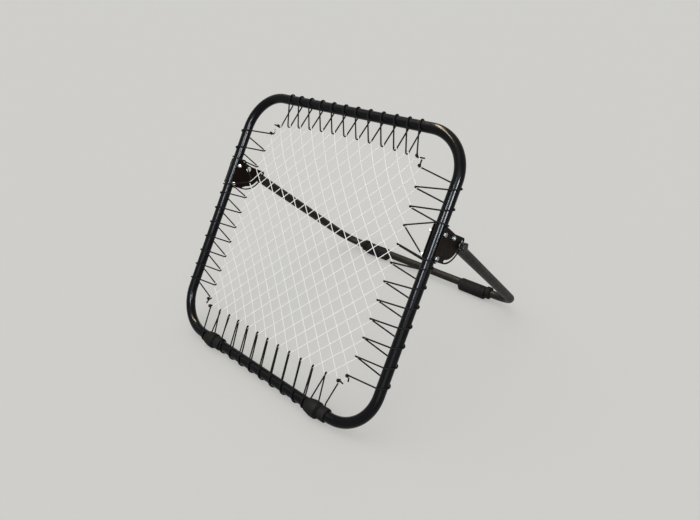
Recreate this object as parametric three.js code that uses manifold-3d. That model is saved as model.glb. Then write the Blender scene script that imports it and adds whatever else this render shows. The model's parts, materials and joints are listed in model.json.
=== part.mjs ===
// Pitch back rebounder: a square tube frame that leans back on a folding U-shaped leg.
// A knotted net hangs inside the frame on four elastic cords, one laced to each side.
// Millimetres, +Z up, +X to the right as seen by the player, +Y towards the back.
import * as THREE from 'three';
import { mergeVertices } from 'three/addons/utils/BufferGeometryUtils.js';
import Module from 'manifold-3d';

const wasm = await Module();
wasm.setup();

// ---- driving dimensions -------------------------------------------------------------------
const FIT = 0.3;                 // clearance between two pieces that bear on each other

const TUBE_OD = 35;              // steel tube of the frame and of the leg
const TUBE_WALL = 1.6;
const FRAME_WIDTH = 940;         // between the centre lines of the side tubes
const FRAME_HEIGHT = 940;        // between the centre lines of the top and bottom tubes
const FRAME_BEND = 140;          // centre line radius of the four corners
const SPIGOT_LENGTH = 58;        // reduced tube end that slides into its neighbour
const BEND_TO_JOINT_LENGTH = 65; // straight end of the hoop, from its bend to the bottom tube

const PIVOT_HEIGHT = 178;        // leg pivot above the middle of the frame
const PIVOT_SETBACK = 52;        // leg pivot behind the frame's plane
const LEG_LENGTH = 832;          // pivot to the centre line of the cross tube
const LEG_BEND = 100;
const LEG_OPEN = 79.6;           // angle between the leg and the lower side tube, degrees
const LEG_OVERHANG = 17;         // tube past the pivot bolt
const CROSS_TUBE_LENGTH = 550;   // between the two leg arms' joints

const PLATE_THICK = 3;
const SLOT_RADIUS = 74;          // pivot to the middle of the arc slot
const SLOT_WIDTH = 9;
const SLOT_RIM = 4.5;            // metal left outside the slot
const SLOT_START = 2;            // arc slot, degrees from the folded leg
const SLOT_END = 92;
const PLATE_FRONT = 10;          // plate in front of the tube's centre line
const PLATE_CROWN = 24;          // plate above the pivot, at the tube
const PLATE_KNEE = 13;           // plate above the pivot, beside it
const PLATE_TAB = 11;            // radius of the plate's nose round the slot's end
const LOWER_BOLT_DROP = 72.5;    // lower frame bolt below the upper one

const BOLT_D = 8;
const HEX_ACROSS = 13;           // across flats, bolt heads and nuts
const BOLT_HEAD = 5.5;
const CAP_NUT_BASE = 6.5;
const PIVOT_HEAD_D = 22;
const PIVOT_HEAD = 4;
const LOCK_NUT = 8;
const LOCK_HEAD_D = 20;
const LOCK_HEAD = 4.5;
const WASHER_D = 24;
const WASHER = 1.6;
const THREAD_SPARE = 2;          // thread that stands past a nut

const KNOB_R = 16;               // star knob, to the tips of its lobes
const KNOB_DEPTH = 13;
const KNOB_LOBES = 5;
const KNOB_VALLEY = 3.2;
const KNOB_NECK_D = 20;
const KNOB_NECK = 4;
const KNOB_ROOF = 5;             // plastic over the end of the lock bolt

const NET_SIDE_GAP = 116;        // side tube's centre line to the net's outer mesh tips
const NET_END_GAP = 109;         // the same at the top and bottom tubes
const NET_RISE = 4;              // middle of the net above the middle of the frame
const MESHES_ACROSS = 13;
const MESHES_DOWN = 12;
const TWINE = 3.2;               // width of a net strand
const TWINE_THICK = 3;
const PULL_TOP = 14;             // how far each edge of the net is drawn sideways by its cord
const PULL_BOTTOM = -12;
const PULL_RIGHT = 13;
const PULL_LEFT = -26;
const STRETCH_TOP = 34;          // how far each edge is drawn out towards its tube
const STRETCH_BOTTOM = 10;
const STRETCH_RIGHT = 8;
const STRETCH_LEFT = 8;
const TOP_GATHER = 0.09;         // how much the cord draws the top corners together

const CORD_D = 5;                // elastic cord
const CORD_SIDES = 4;
const CORD_TAIL_LENGTH = 20;
const KNOT_RADIUS = 6.5;
const HOOK_LEAN = 1.6;           // how far a strand leans as it dives through a mesh
const HOOK_FIT = 2.2;            // room between the cord and the mesh it pulls
const LEAD_LENGTH = 24;          // a strand that passes a foot or a plate bends this far out
const BARREL_SPARE = 8.6;        // from a front foot's barrel to the turn beside it

const FRONT_FOOT_RADIUS = 27.5;
const FRONT_FOOT_TIP_RADIUS = 22.5;
const FRONT_FOOT_TAPER = 26;     // length of the barrel that tapers to its tip
const FRONT_FOOT_DROP = 3.5;     // barrel's axis below the tube's
const FRONT_FOOT_BARREL = 49;
const FRONT_FOOT_GROOVE = 10;    // gap between the barrel and the collar
const FRONT_FOOT_COLLAR = 28;
const FRONT_FOOT_COLLAR_RADIUS = 23;
const REAR_FOOT_RADIUS = 29;
const REAR_FOOT_TIP_RADIUS = 22;
const REAR_FOOT_TAPER = 9;
const REAR_FOOT_DROP = 8;
const REAR_FOOT_BARREL = 129;
const REAR_FOOT_GROOVE = 4;
const REAR_FOOT_COLLAR = 20;
const REAR_FOOT_COLLAR_RADIUS = 27;
const REAR_FOOT_END = 357;       // outer end of the rear foot, from the middle
const FOOT_SKIN = 3.2;           // rubber at the bottom of a groove
const FOOT_LAND = 1.2;           // depth of the flat that stands on the ground

// ---- sizes that follow --------------------------------------------------------------------
const RAD = Math.PI / 180;
const tubeR = TUBE_OD / 2;
const boreR = tubeR - TUBE_WALL;
const boltR = BOLT_D / 2;
const halfW = FRAME_WIDTH / 2;
const halfH = FRAME_HEIGHT / 2;
const plateFace = tubeR + FIT;                   // inner face of a plate, from the tube's axis
const plateBack = plateFace + PLATE_THICK;
const cordR = CORD_D / 2;
const netW = FRAME_WIDTH - 2 * NET_SIDE_GAP;
const netH = FRAME_HEIGHT - 2 * NET_END_GAP;
const crossHalf = CROSS_TUBE_LENGTH / 2;
const TUBE_SIDES = 16;
const BORE_SIDES = 12;
const BEND_STEPS = 5;
const HOLE_SIDES = 8;
const holeR = (boltR + FIT) / Math.cos(Math.PI / HOLE_SIDES);
const PIN_SIDES = 10;

// ---- shared tools -------------------------------------------------------------------------
const solid = (geometry) => {
  const g = geometry.index ? geometry.toNonIndexed() : geometry.clone();
  g.deleteAttribute('normal');
  g.deleteAttribute('uv');
  const merged = mergeVertices(g, 1e-4);
  return new wasm.Manifold(new wasm.Mesh({
    numProp: 3,
    vertProperties: new Float32Array(merged.attributes.position.array),
    triVerts: new Uint32Array(merged.index.array),
  }));
};

const geometryOf = (manifold) => {
  const mesh = manifold.getMesh();
  const g = new THREE.BufferGeometry();
  g.setAttribute('position', new THREE.BufferAttribute(new Float32Array(mesh.vertProperties), 3));
  g.setIndex(new THREE.BufferAttribute(new Uint32Array(mesh.triVerts), 1));
  g.computeVertexNormals();
  return g;
};

const cut = (geometry, ...tools) => {
  let body = solid(geometry);
  for (const tool of tools) body = body.subtract(solid(tool));
  return geometryOf(body);
};

const join = (...geometries) => {
  let body = solid(geometries[0]);
  for (const g of geometries.slice(1)) body = body.add(solid(g));
  return geometryOf(body);
};

const ring = (radius, sides, turn = 0) => {
  const points = [];
  for (let i = 0; i < sides; i += 1) {
    const a = turn + (2 * Math.PI * i) / sides;
    points.push(new THREE.Vector2(radius * Math.cos(a), radius * Math.sin(a)));
  }
  return points;
};

// A round pin along X from x0 to x1, centred on (y, z).
const pinX = (radius, x0, x1, y = 0, z = 0, sides = PIN_SIDES) => {
  const g = new THREE.CylinderGeometry(radius, radius, x1 - x0, sides);
  g.rotateZ(Math.PI / 2);
  g.translate((x0 + x1) / 2, y, z);
  return g;
};

// A hexagon along X, with its size across flats.
const hexX = (across, x0, x1) => {
  const g = pinX(across / Math.sqrt(3), x0, x1, 0, 0, 6);
  return g;
};

// A profile of [distance along X, radius] pairs turned round the X axis.
const turnedX = (profile, sides) => {
  const g = new THREE.LatheGeometry(profile.map(([x, r]) => new THREE.Vector2(r, x)), sides);
  g.rotateZ(-Math.PI / 2);
  return g;
};

// A route whose rings stand exactly on the listed points.
class Route extends THREE.Curve {
  constructor(points, tangents) {
    super();
    this.points = points;
    this.tangents = tangents ?? points.map((p, i) => {
      const before = points[Math.max(i - 1, 0)];
      const after = points[Math.min(i + 1, points.length - 1)];
      const t = new THREE.Vector3();
      if (i > 0) t.add(p.clone().sub(before).normalize());
      if (i < points.length - 1) t.add(after.clone().sub(p).normalize());
      return t.normalize();
    });
  }

  getPointAt(u, target = new THREE.Vector3()) {
    return target.copy(this.points[Math.round(u * (this.points.length - 1))]);
  }

  getTangentAt(u, target = new THREE.Vector3()) {
    return target.copy(this.tangents[Math.round(u * (this.points.length - 1))]);
  }
}

const sweep = (route, outline, hole) => {
  const shape = new THREE.Shape(outline);
  if (hole) shape.holes.push(new THREE.Path(hole));
  return new THREE.ExtrudeGeometry(shape, { steps: route.points.length - 1, extrudePath: route });
};

// A bent tube's centre line: straight runs between corners that share one radius.
const bentRoute = (corners, radius) => {
  const points = [corners[0]];
  const tangents = [corners[1].clone().sub(corners[0]).normalize()];
  for (let i = 1; i < corners.length - 1; i += 1) {
    const into = corners[i].clone().sub(corners[i - 1]).normalize();
    const out = corners[i + 1].clone().sub(corners[i]).normalize();
    const centre = corners[i].clone().addScaledVector(into, -radius).addScaledVector(out, radius);
    for (let k = 0; k <= BEND_STEPS; k += 1) {
      const a = (Math.PI / 2) * (k / BEND_STEPS);
      points.push(centre.clone()
        .addScaledVector(into, radius * Math.sin(a))
        .addScaledVector(out, -radius * Math.cos(a)));
      tangents.push(into.clone().multiplyScalar(Math.cos(a)).addScaledVector(out, Math.sin(a)));
    }
  }
  points.push(corners[corners.length - 1]);
  tangents.push(corners[corners.length - 1].clone().sub(corners[corners.length - 2]).normalize());
  return new Route(points, tangents);
};

const tubeAlong = (route) => sweep(route, ring(tubeR, TUBE_SIDES), ring(boreR, BORE_SIDES).reverse());

// A straight tube along X with both ends reduced to slide into the next tube.
const spigotTube = (shoulder) => {
  const neckR = boreR * Math.cos(Math.PI / BORE_SIDES) - FIT;
  const neckBoreR = neckR - TUBE_WALL;
  const end = shoulder + SPIGOT_LENGTH;
  const taper = tubeR - neckR;
  return turnedX([
    [-end, neckBoreR], [-end, neckR], [-shoulder, neckR], [-shoulder + taper, tubeR],
    [shoulder - taper, tubeR], [shoulder, neckR], [end, neckR], [end, neckBoreR],
    [shoulder, neckBoreR], [shoulder - taper, boreR],
    [-shoulder + taper, boreR], [-shoulder, neckBoreR], [-end, neckBoreR],
  ], TUBE_SIDES);
};

// ---- materials ----------------------------------------------------------------------------
const finish = (color, roughness, metalness) => (
  new THREE.MeshStandardMaterial({ color, roughness, metalness }));
const powderCoat = finish(0x15171b, 0.35, 0.2);
const legCoat = finish(0x2b2724, 0.6, 0.15);
const pressedSteel = finish(0x1c130f, 0.55, 0.3);
const rubber = finish(0x171717, 0.9, 0);
const zinc = finish(0xb9c2c4, 0.3, 0.9);
const blackPlastic = finish(0x111111, 0.5, 0);
const whiteTwine = finish(0xf2f2ee, 0.85, 0);
const blackElastic = finish(0x0c0c0e, 0.8, 0);

const part = (name, geometry, material) => {
  const mesh = new THREE.Mesh(geometry, material);
  mesh.name = name;
  return mesh;
};

// ---- how the object stands ----------------------------------------------------------------
const FRONT_FOOT = {
  radius: FRONT_FOOT_RADIUS, tip: FRONT_FOOT_TIP_RADIUS, taper: FRONT_FOOT_TAPER,
  drop: FRONT_FOOT_DROP, barrel: FRONT_FOOT_BARREL, groove: FRONT_FOOT_GROOVE,
  collar: FRONT_FOOT_COLLAR, collarRadius: FRONT_FOOT_COLLAR_RADIUS,
};
const REAR_FOOT = {
  radius: REAR_FOOT_RADIUS, tip: REAR_FOOT_TIP_RADIUS, taper: REAR_FOOT_TAPER,
  drop: REAR_FOOT_DROP, barrel: REAR_FOOT_BARREL, groove: REAR_FOOT_GROOVE,
  collar: REAR_FOOT_COLLAR, collarRadius: REAR_FOOT_COLLAR_RADIUS,
};

// The ground touches the front feet and the rear feet, and that sets how far the frame leans.
const legTurn = LEG_OPEN * RAD;
const rearN = PIVOT_SETBACK + LEG_LENGTH * Math.sin(legTurn);
const rearV = PIVOT_HEIGHT - LEG_LENGTH * Math.cos(legTurn);
const standDepth = (foot) => foot.drop + foot.radius - FOOT_LAND;
const footing = Math.hypot(rearN, rearV + halfH);
const lean = Math.atan2(rearV + halfH, rearN)
  - Math.asin((standDepth(REAR_FOOT) - standDepth(FRONT_FOOT)) / footing);

// ---- frame --------------------------------------------------------------------------------
const frameJoint = halfW - FRAME_BEND - BEND_TO_JOINT_LENGTH;
const at = (x, n, v) => new THREE.Vector3(x, n, v);
const boltHeights = [PIVOT_HEIGHT, PIVOT_HEIGHT - LOWER_BOLT_DROP];

const frameHoop = () => {
  const route = bentRoute([
    at(-frameJoint, 0, -halfH), at(-halfW, 0, -halfH), at(-halfW, 0, halfH),
    at(halfW, 0, halfH), at(halfW, 0, -halfH), at(frameJoint, 0, -halfH),
  ], FRAME_BEND);
  const holes = [];
  for (const side of [-1, 1]) {
    for (const v of boltHeights) {
      const x = side * halfW;
      holes.push(pinX(holeR, x - TUBE_OD, x + TUBE_OD, 0, v, HOLE_SIDES));
    }
  }
  return cut(tubeAlong(route), ...holes);
};

const bottomTube = () => {
  const g = spigotTube(frameJoint - FIT);
  g.translate(0, 0, -halfH);
  return g;
};

// ---- bracket plates -----------------------------------------------------------------------
// Drawn in the plane of the bracket: first axis back from the pivot, second axis up.
const plateBottom = -(SLOT_RADIUS + SLOT_WIDTH / 2 + SLOT_RIM);
const plateFrontEdge = -PIVOT_SETBACK - PLATE_FRONT;
const onArc = (radius, fold) => new THREE.Vector2(
  radius * Math.sin(fold * RAD), -radius * Math.cos(fold * RAD));

const arcPoints = (radius, from, to, steps) => {
  const points = [];
  for (let i = 0; i <= steps; i += 1) points.push(onArc(radius, from + ((to - from) * i) / steps));
  return points;
};

const roundEnd = (centre, radius, startAngle, steps) => {
  const points = [];
  for (let i = 1; i < steps; i += 1) {
    const a = startAngle + (Math.PI * i) / steps;
    points.push(new THREE.Vector2(centre.x + radius * Math.cos(a), centre.y + radius * Math.sin(a)));
  }
  return points;
};

const SLOT_STEPS = 9;
const END_STEPS = 4;

const slotPath = () => {
  const half = SLOT_WIDTH / 2;
  return [
    ...arcPoints(SLOT_RADIUS + half, SLOT_START, SLOT_END, SLOT_STEPS),
    ...roundEnd(onArc(SLOT_RADIUS, SLOT_END), half, SLOT_END * RAD - Math.PI / 2, END_STEPS),
    ...arcPoints(SLOT_RADIUS - half, SLOT_END, SLOT_START, SLOT_STEPS),
    ...roundEnd(onArc(SLOT_RADIUS, SLOT_START), half, SLOT_START * RAD + Math.PI / 2, END_STEPS),
  ];
};

const circlePath = (x, y, radius) => (
  ring(radius, HOLE_SIDES).map((p) => new THREE.Vector2(x + p.x, y + p.y)));

const plateShape = () => {
  const nose = onArc(SLOT_RADIUS, SLOT_END);
  const outline = new THREE.Shape();
  const corner = PLATE_FRONT * 0.6;
  outline.moveTo(plateFrontEdge + corner, plateBottom);
  const rim = arcPoints(-plateBottom, 0, SLOT_END - 6, SLOT_STEPS);
  for (const p of rim) outline.lineTo(p.x, p.y);
  outline.lineTo(nose.x + PLATE_TAB, nose.y - PLATE_TAB * 0.3);
  outline.lineTo(nose.x + PLATE_TAB, nose.y + PLATE_TAB * 0.45);
  outline.lineTo(nose.x + PLATE_TAB * 0.45, nose.y + PLATE_TAB);
  outline.lineTo(PLATE_KNEE, PLATE_KNEE);
  outline.lineTo(plateFrontEdge + corner, PLATE_CROWN);
  outline.lineTo(plateFrontEdge, PLATE_CROWN - corner);
  outline.lineTo(plateFrontEdge, plateBottom + corner);
  outline.closePath();
  outline.holes.push(new THREE.Path(slotPath()));
  outline.holes.push(new THREE.Path(circlePath(0, 0, holeR)));
  for (const v of boltHeights) {
    outline.holes.push(new THREE.Path(circlePath(-PIVOT_SETBACK, v - PIVOT_HEIGHT, holeR)));
  }
  return outline;
};

// The plate's first axis becomes N, its second V, and its thickness X.
const bracketPlate = (x) => {
  const g = new THREE.ExtrudeGeometry(plateShape(), { depth: PLATE_THICK, bevelEnabled: false });
  g.rotateX(Math.PI / 2);
  g.rotateZ(Math.PI / 2);
  g.translate(x, PIVOT_SETBACK, PIVOT_HEIGHT);
  return g;
};

// ---- fasteners ----------------------------------------------------------------------------
// Each is drawn along X about its own axis, for a bracket whose outer side is towards +X.
const seat = plateBack + FIT;

const frameBolt = () => join(
  hexX(HEX_ACROSS, seat, seat + BOLT_HEAD),
  pinX(boltR, -seat - CAP_NUT_BASE, seat + BOLT_HEAD / 2),
);

const capNut = () => {
  const domeR = HEX_ACROSS / 2;
  const face = -seat;
  const base = face - CAP_NUT_BASE;
  const dome = turnedX([
    [base - domeR, 0], [base - domeR * 0.75, domeR * 0.62], [base, domeR * 0.97],
    [face - 1, domeR * 0.97], [face - 1, 0],
  ], 12);
  return cut(join(hexX(HEX_ACROSS, base, face), dome),
    pinX(holeR, base - FIT - 1, face + 1, 0, 0, HOLE_SIDES));
};

const pivotBolt = () => join(
  turnedX([
    [-seat - PIVOT_HEAD, 0], [-seat - PIVOT_HEAD, PIVOT_HEAD_D * 0.36],
    [-seat - PIVOT_HEAD * 0.4, PIVOT_HEAD_D / 2], [-seat, PIVOT_HEAD_D / 2], [-seat, 0],
  ], 14),
  pinX(boltR, -seat - PIVOT_HEAD / 2, seat + LOCK_NUT + THREAD_SPARE),
);

const pivotNut = () => cut(hexX(HEX_ACROSS, seat, seat + LOCK_NUT),
  pinX(holeR, seat - 1, seat + LOCK_NUT + 1, 0, 0, HOLE_SIDES));

const knobSeat = seat + WASHER + FIT;
const knobTop = knobSeat + KNOB_NECK + KNOB_DEPTH;

const lockBolt = () => join(
  turnedX([
    [-seat - LOCK_HEAD, 0], [-seat - LOCK_HEAD, LOCK_HEAD_D * 0.25],
    [-seat - LOCK_HEAD * 0.5, LOCK_HEAD_D * 0.42], [-seat, LOCK_HEAD_D / 2], [-seat, 0],
  ], 14),
  pinX(boltR, -seat - LOCK_HEAD / 2, knobTop - KNOB_ROOF),
);

const lockWasher = () => cut(pinX(WASHER_D / 2, seat, seat + WASHER, 0, 0, 16),
  pinX(holeR, seat - 1, seat + WASHER + 1, 0, 0, HOLE_SIDES));

const lockKnob = () => {
  const points = [];
  const count = KNOB_LOBES * 4;
  for (let i = 0; i < count; i += 1) {
    const a = (2 * Math.PI * i) / count;
    const r = KNOB_R - 1.5 - (KNOB_VALLEY / 2) * (1 - Math.cos(KNOB_LOBES * a));
    points.push(new THREE.Vector2(r * Math.cos(a), r * Math.sin(a)));
  }
  const star = new THREE.ExtrudeGeometry(new THREE.Shape(points), {
    depth: KNOB_DEPTH - 3, bevelEnabled: true, bevelThickness: 1.5, bevelSize: 1.5, bevelSegments: 1,
  });
  star.rotateY(Math.PI / 2);
  star.translate(knobSeat + KNOB_NECK + 1.5, 0, 0);
  const neck = pinX(KNOB_NECK_D / 2, knobSeat, knobSeat + KNOB_NECK + 2, 0, 0, 16);
  return cut(join(star, neck), pinX(holeR, knobSeat - 1, knobTop - KNOB_ROOF + FIT, 0, 0, HOLE_SIDES));
};

// ---- feet ---------------------------------------------------------------------------------
// A rubber foot slides on the tube. Its barrel hangs low, and ends in a flat that takes the ground.
// Local frame: X along the tube from the groove, -Z to the ground, barrel towards -X.
const rubberFoot = (foot) => {
  const grooveR = tubeR + FOOT_SKIN;
  const lip = foot.groove / 2;
  const barrelEnd = -lip - foot.barrel;
  const barrel = turnedX([
    [barrelEnd, 0], [barrelEnd, foot.tip], [barrelEnd + foot.taper, foot.radius],
    [-lip - 1, foot.radius], [-lip, foot.radius - 1], [-lip, 0],
  ], TUBE_SIDES);
  barrel.translate(0, 0, -foot.drop);
  const collarEnd = lip + foot.collar;
  const sleeve = turnedX([
    [-lip - 2, 0], [-lip - 2, grooveR], [lip, grooveR], [lip, foot.collarRadius],
    [collarEnd - 2, foot.collarRadius], [collarEnd, foot.collarRadius - 2], [collarEnd, 0],
  ], TUBE_SIDES);
  const length = foot.barrel + foot.collar + foot.groove;
  const bore = pinX(tubeR + FIT, -length - 1, length, 0, 0, TUBE_SIDES);
  const ground = new THREE.BoxGeometry(3 * length, 4 * foot.radius, foot.radius);
  ground.translate(0, 0, -standDepth(foot) - foot.radius / 2);
  return cut(join(barrel, sleeve), bore, ground);
};

// ---- net ----------------------------------------------------------------------------------
// The strands run diagonally, so the net is a lattice of mesh corners. Corner (i, j) exists
// where i + j is even, a mesh opens round (i, j) where i + j is odd.
const meshA = netW / (2 * MESHES_ACROSS);
const meshB = netH / (2 * MESHES_DOWN);
const spanA = MESHES_ACROSS;
const spanB = MESHES_DOWN;
const meshDepth = (meshA * meshB) / Math.hypot(meshA, meshB);
const strandShare = TWINE / 2 / meshDepth;

// The cords draw each edge a little along its tube and out towards it, most of all in the middle
// of the edge. Only the last rows of meshes feel it.
const bow = (q) => 1 - 0.6 * q * q;
const aside = (q) => Math.max(q, 0) ** 4;
const outward = (q) => Math.max(q, 0) ** 6;
const drawn = (x, v) => {
  const qx = x / (meshA * spanA);
  const qv = v / (meshB * spanB);
  const topPull = PULL_TOP * bow(qx) - TOP_GATHER * x * qx ** 4;
  const dx = aside(qv) * topPull + aside(-qv) * PULL_BOTTOM * bow(qx)
    + (outward(qx) * STRETCH_RIGHT - outward(-qx) * STRETCH_LEFT) * bow(qv);
  const dv = (aside(qx) * PULL_RIGHT + aside(-qx) * PULL_LEFT) * bow(qv)
    + (outward(qv) * STRETCH_TOP - outward(-qv) * STRETCH_BOTTOM) * bow(qx);
  return new THREE.Vector2(x + dx, v + dv + NET_RISE);
};

const netOutline = () => {
  const outX = meshA * strandShare;
  const outV = meshB * strandShare;
  const points = [];
  for (let i = -spanA + 1; i < spanA; i += 1) {
    const j = spanB - (Math.abs(i + spanB) % 2);
    points.push([i * meshA, j * meshB + outV]);
  }
  for (let j = spanB - 1; j > -spanB; j -= 1) {
    const i = spanA - (Math.abs(j + spanA) % 2);
    points.push([i * meshA + outX, j * meshB]);
  }
  for (let i = spanA - 1; i > -spanA; i -= 1) {
    const j = spanB - (Math.abs(i + spanB) % 2);
    points.push([i * meshA, -j * meshB - outV]);
  }
  for (let j = -spanB + 1; j < spanB; j += 1) {
    const i = spanA - (Math.abs(j + spanA) % 2);
    points.push([-i * meshA - outX, j * meshB]);
  }
  return points.map(([x, v]) => drawn(x, v));
};

const netPanel = () => {
  const openA = meshA * (1 - strandShare);
  const openB = meshB * (1 - strandShare);
  const meshes = [];
  for (let i = -spanA + 1; i < spanA; i += 1) {
    for (let j = -spanB + 1; j < spanB; j += 1) {
      if ((i + j) % 2 !== 0) {
        const x = i * meshA;
        const v = j * meshB;
        meshes.push(new THREE.Shape([
          drawn(x + openA, v), drawn(x, v + openB), drawn(x - openA, v), drawn(x, v - openB),
        ]));
      }
    }
  }
  const flat = { depth: TWINE_THICK, bevelEnabled: false };
  const sheet = new THREE.ExtrudeGeometry(new THREE.Shape(netOutline()), flat);
  const openings = new THREE.ExtrudeGeometry(meshes, { ...flat, depth: 3 * TWINE_THICK });
  openings.translate(0, 0, -TWINE_THICK);
  const g = cut(sheet, openings);
  g.translate(0, 0, -TWINE_THICK / 2);
  g.rotateX(Math.PI / 2);
  return g;
};

// ---- lacing -------------------------------------------------------------------------------
// Each side has its own flat frame: s along the tube, r from the tube towards the net, n back.
// A cord dives through a mesh tip from the front, runs behind the tube, comes round its outside
// and over its front, and goes on to the next mesh tip.
const sides = {
  top: { place: (s, r, n) => at(s, n, halfH - r) },
  bottom: { place: (s, r, n) => at(s, n, r - halfH) },
  right: { place: (s, r, n) => at(halfW - r, n, s) },
  left: { place: (s, r, n) => at(r - halfW, n, s) },
};

// The cord runs through the corner of each edge mesh, this far inside its outermost point.
const hookBelow = (halfAngle) => (TWINE / 2 + cordR + HOOK_FIT) / Math.sin(halfAngle);
const hookB = spanB * meshB - hookBelow(Math.atan2(meshA, meshB));
const hookA = spanA * meshA - hookBelow(Math.atan2(meshB, meshA));

const hooksAcross = (v, toHook) => {
  const hooks = [];
  for (let i = -spanA + 1; i < spanA; i += 2) hooks.push(toHook(drawn(i * meshA, v)));
  return hooks;
};
const hooksDown = (x, toHook) => {
  const hooks = [];
  for (let j = -spanB + 1; j < spanB; j += 2) hooks.push(toHook(drawn(x, j * meshB)));
  return hooks;
};
const topHooks = hooksAcross(hookB, (p) => ({ s: p.x, r: halfH - p.y }));
const bottomHooks = hooksAcross(-hookB, (p) => ({ s: p.x, r: halfH + p.y })).reverse();
const rightHooks = hooksDown(hookA, (p) => ({ s: p.y, r: halfW - p.x })).reverse();
const leftHooks = hooksDown(-hookA, (p) => ({ s: p.y, r: halfW + p.x }));

// Each turn round the tube: share is where its middle lies between the two meshes it joins, and
// climb is how far it travels along the tube on either side of that middle.
const TOP_SHARE = 0.36;
const TOP_CLIMB = 6;
const BOTTOM_SHARE = 0.27;
const BOTTOM_CLIMB = 13;
const RIGHT_SHARE = 0.56;
const RIGHT_CLIMB = 11;
const LEFT_SHARE = 0.65;
const LEFT_CLIMB = 10;
const GROOVE_RIGHT_SHARE = 0.56;
const GROOVE_LEFT_SHARE = 0.35;
const TURN_STEPS = 3;

const between = (hooks, k, share) => hooks[k].s + share * (hooks[k + 1].s - hooks[k].s);
const turnBetween = (hooks, k, share, climb) => (
  { s: between(hooks, k, share), climb, radius: tubeR });

// A front foot is slid on so that its groove meets one of the bottom turns, and the turn after
// that one clears the small end of its barrel.
const lastTurn = bottomHooks.length - 2;
const rightFootAt = between(bottomHooks, 0, GROOVE_RIGHT_SHARE);
const leftFootAt = between(bottomHooks, lastTurn - 1, GROOVE_LEFT_SHARE);
const besideBarrel = FRONT_FOOT_GROOVE / 2 + FRONT_FOOT_BARREL + BARREL_SPARE;
const inGroove = (s) => ({ s, climb: 0, radius: tubeR + FOOT_SKIN, leadBack: true, leadFront: true });

const bottomTurn = (k) => {
  if (k === 0) return inGroove(rightFootAt);
  if (k === 1) return { s: rightFootAt - besideBarrel, climb: 0, radius: tubeR };
  if (k === lastTurn - 1) return inGroove(leftFootAt);
  if (k === lastTurn) return { s: leftFootAt - besideBarrel, climb: 0, radius: tubeR };
  return turnBetween(bottomHooks, k, BOTTOM_SHARE, BOTTOM_CLIMB);
};

// No turn fits where the bracket plates hold the side tube: it goes to the nearer end of them.
const bracketLow = PIVOT_HEIGHT + plateBottom - cordR - 2 * FIT;
const bracketHigh = PIVOT_HEIGHT + PLATE_CROWN + cordR + 2 * FIT;
const sideTurn = (hooks, share, climb) => (k) => {
  const turn = turnBetween(hooks, k, share, climb);
  const room = climb + cordR;
  if (turn.s < bracketLow - room || turn.s > bracketHigh + room) return turn;
  const s = turn.s - bracketLow < bracketHigh - turn.s ? bracketLow : bracketHigh;
  return { s, climb: 0, radius: tubeR, leadBack: true };
};

const laceCord = (side, hooks, turnAt) => {
  const { place } = sides[side];
  const way = Math.sign(hooks[1].s - hooks[0].s);
  const hookN = TWINE_THICK / 2 + cordR + FIT;
  const knotN = TWINE_THICK / 2 + KNOT_RADIUS + FIT;
  const route = [];
  const knots = [];
  hooks.forEach(({ s: at0, r }, k) => {
    const front = place(at0 - way * HOOK_LEAN, r - 2, -hookN);
    const back = place(at0 + way * HOOK_LEAN, r - 2, hookN);
    const last = k === hooks.length - 1;
    if (k === 0) route.push(place(at0 - way * CORD_TAIL_LENGTH, r - 4, -knotN));
    if (k === 0 || last) knots.push(place(at0, r - 3, -knotN));
    route.push(front);
    route.push(place(at0, r, 0));
    route.push(back);
    if (last) {
      route.push(place(at0 + way * CORD_TAIL_LENGTH, r - 4, knotN));
      return;
    }
    const { s, climb, radius, leadBack, leadFront } = turnAt(k);
    const turnR = radius + cordR + FIT;
    const leave = Math.acos(turnR / Math.hypot(r, hookN)) + Math.atan2(hookN, r);
    const touchR = turnR * Math.cos(leave);
    const touchN = turnR * Math.sin(leave);
    const leadN = touchN + (hookN - touchN) * ((LEAD_LENGTH - touchR) / (r - touchR));
    const step = (2 * Math.PI - 2 * leave) / TURN_STEPS;
    const stepR = turnR / Math.cos(step / 2);
    if (leadBack) route.push(place(s, LEAD_LENGTH, leadN));
    for (let i = 0; i < TURN_STEPS; i += 1) {
      const a = leave + step * (i + 0.5);
      const along = way * climb * ((2 * i + 1) / TURN_STEPS - 1);
      route.push(place(s + along, stepR * Math.cos(a), stepR * Math.sin(a)));
    }
    if (leadFront) route.push(place(s, LEAD_LENGTH, -leadN));
  });
  const cord = sweep(new Route(route), ring(cordR, CORD_SIDES));
  const balls = knots.map((p) => {
    const ball = new THREE.SphereGeometry(KNOT_RADIUS, 6, 4);
    ball.translate(p.x, p.y, p.z);
    return ball;
  });
  return join(cord, ...balls);
};

// ---- leg ----------------------------------------------------------------------------------
// Drawn folded straight down from the pivot, in the leg's own frame.
const legArm = (side) => {
  const x = side * halfW;
  const route = bentRoute([
    at(x, 0, LEG_OVERHANG), at(x, 0, -LEG_LENGTH), at(side * crossHalf, 0, -LEG_LENGTH),
  ], LEG_BEND);
  return cut(tubeAlong(route),
    pinX(holeR, x - TUBE_OD, x + TUBE_OD, 0, 0, HOLE_SIDES),
    pinX(holeR, x - TUBE_OD, x + TUBE_OD, 0, -SLOT_RADIUS, HOLE_SIDES));
};

const crossTube = () => {
  const g = spigotTube(crossHalf - FIT);
  g.translate(0, 0, -LEG_LENGTH);
  return g;
};

// ---- assembly -----------------------------------------------------------------------------
const rebounder = new THREE.Group();
const frame = new THREE.Group();
frame.rotation.x = -lean;
rebounder.add(frame);

frame.add(part('frame_hoop_tube', frameHoop(), powderCoat));
frame.add(part('frame_bottom_tube', bottomTube(), powderCoat));

for (const [name, x] of [['left', leftFootAt], ['right', rightFootAt]]) {
  const foot = part(`front_foot_${name}`, rubberFoot(FRONT_FOOT), rubber);
  foot.position.set(x, 0, -halfH);
  foot.rotation.x = lean;
  frame.add(foot);
}

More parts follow.
